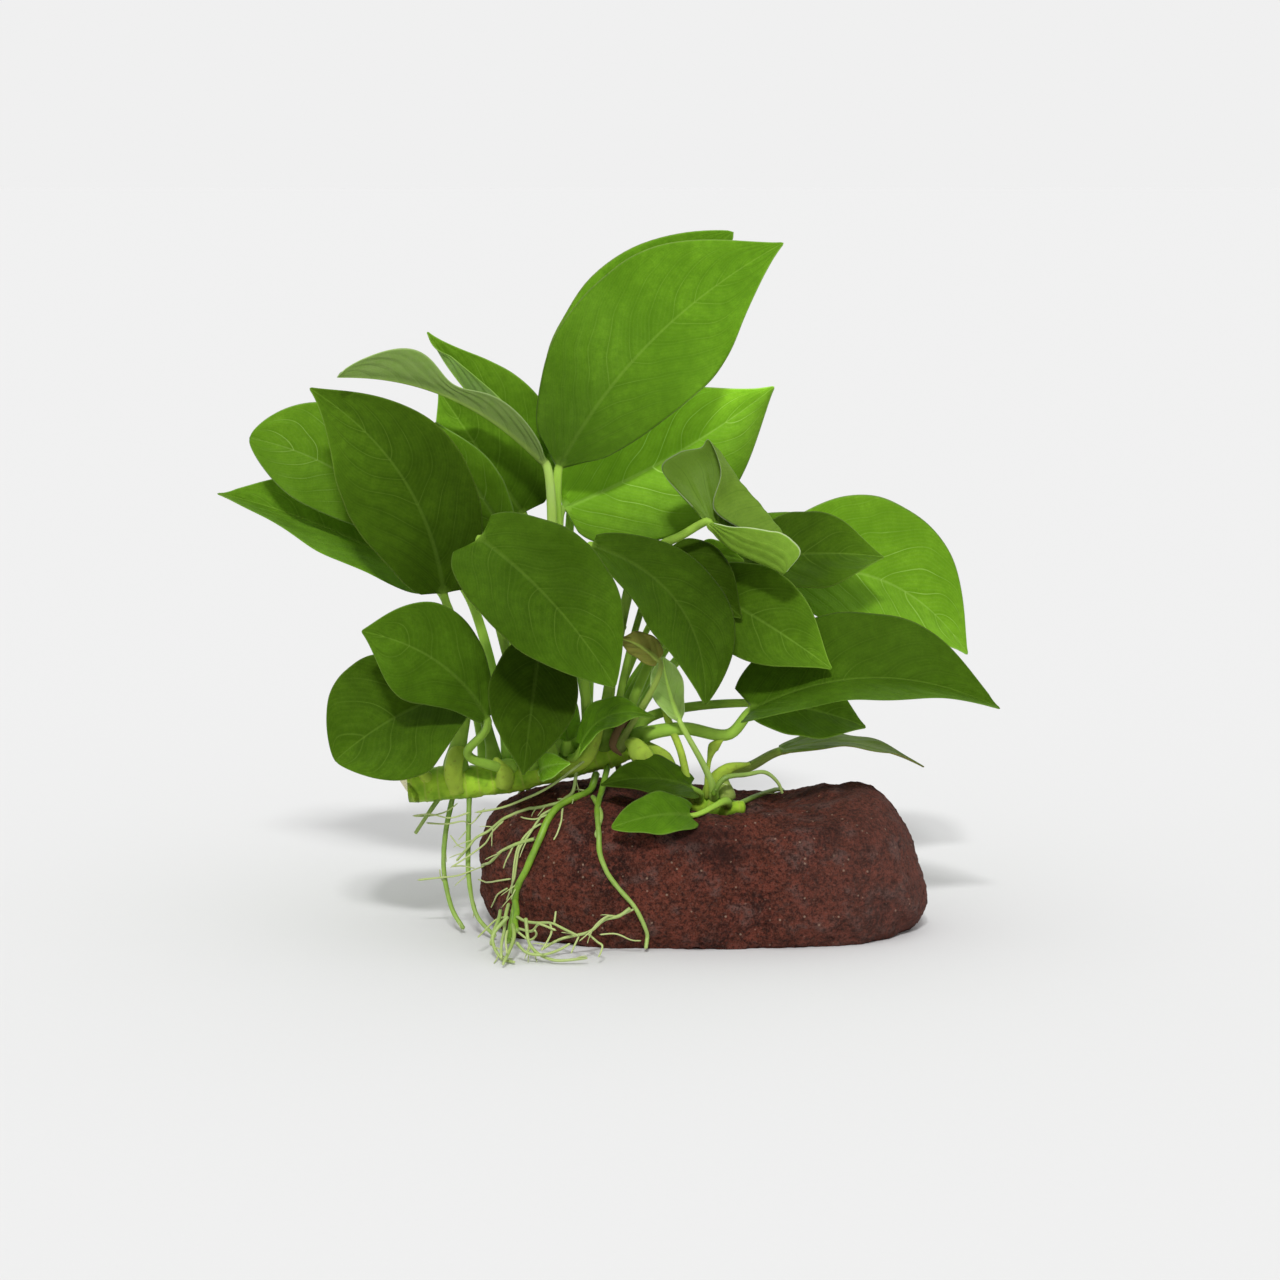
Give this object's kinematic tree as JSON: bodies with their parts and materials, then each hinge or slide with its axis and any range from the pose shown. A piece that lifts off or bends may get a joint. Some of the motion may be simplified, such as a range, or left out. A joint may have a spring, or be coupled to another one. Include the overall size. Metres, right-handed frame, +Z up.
{
  "type": "anubias on stone",
  "caption": "Broad-leaved aquatic plant grown fast to an oblong porous lava stone that stands flat, its creeping rhizome overhanging one end and thin roots clinging to the stone.",
  "frame": {"origin": "middle of the stone's flat underside, on the surface that it stands on", "axes": "+X to the plant's right as its front is looked at, the way that the stone is long; +Y to its back; +Z up"},
  "size_m": [0.2102, 0.1137, 0.1878],
  "materials": {
    "stone": "rough, porous, dark reddish brown lava stone",
    "rhizome_skin": "waxy light green, ringed by leaf scars",
    "root_skin": "matte yellow-green",
    "leaf_bright": "satin bright yellow-green, leathery",
    "leaf_dark": "satin dark green, leathery",
    "leaf_fresh": "satin fresh green, leathery",
    "leaf_mid": "satin mid green, leathery",
    "leaf_olive": "dull olive green",
    "leaf_pale": "pale grey-green, the side turned to the front being the underside"
  },
  "bodies": {
    "root": {"stone": "stone", "rhizome_main": "rhizome_skin", "rhizome_side": "rhizome_skin", "leaf_top": "leaf_fresh", "leaf_top_back": "leaf_fresh", "leaf_bright": "leaf_bright", "leaf_long_curved": "leaf_pale", "leaf_upper_left": "leaf_mid", "leaf_tucked_left": "leaf_mid", "leaf_narrow_left": "leaf_bright", "leaf_left_big": "leaf_dark", "leaf_left_bright": "leaf_bright", "leaf_left_long": "leaf_mid", "leaf_left_front": "leaf_mid", "leaf_left_round": "leaf_dark", "leaf_front_big": "leaf_mid", "leaf_front_dark": "leaf_dark", "leaf_front_centre": "leaf_mid", "leaf_front_right": "leaf_dark", "leaf_middle_dark": "leaf_dark", "leaf_middle_small": "leaf_dark", "leaf_middle_olive": "leaf_olive", "leaf_rolled": "leaf_pale", "leaf_right_mid": "leaf_dark", "leaf_right_sliver": "leaf_mid", "leaf_right_back": "leaf_bright", "leaf_right_long": "leaf_mid", "leaf_right_under": "leaf_dark", "leaf_low_thin": "leaf_olive", "leaf_young_upright": "leaf_pale", "leaf_young_arched": "leaf_mid", "leaf_young_dark": "leaf_dark", "leaf_young_low": "leaf_fresh", "leaf_young_left": "leaf_bright", "leaf_young_curled": "leaf_pale", "leaf_young_sheath": "leaf_fresh", "leaf_back_left": "leaf_mid", "leaf_back_right": "leaf_mid", "leaf_back_high": "leaf_fresh", "leaf_back_low": "leaf_dark", "root_left_long": "root_skin", "root_left_inner": "root_skin", "root_left_short": "root_skin", "root_front_broad": "root_skin", "root_front_side": "root_skin", "root_front_thin": "root_skin", "root_front_branch": "root_skin", "root_over_left": "root_skin", "root_floor_left": "root_skin", "root_floor_middle": "root_skin", "root_right": "root_skin", "root_back_left": "root_skin", "root_back_middle": "root_skin", "root_back_right": "root_skin"}
  },
  "joints": []
}
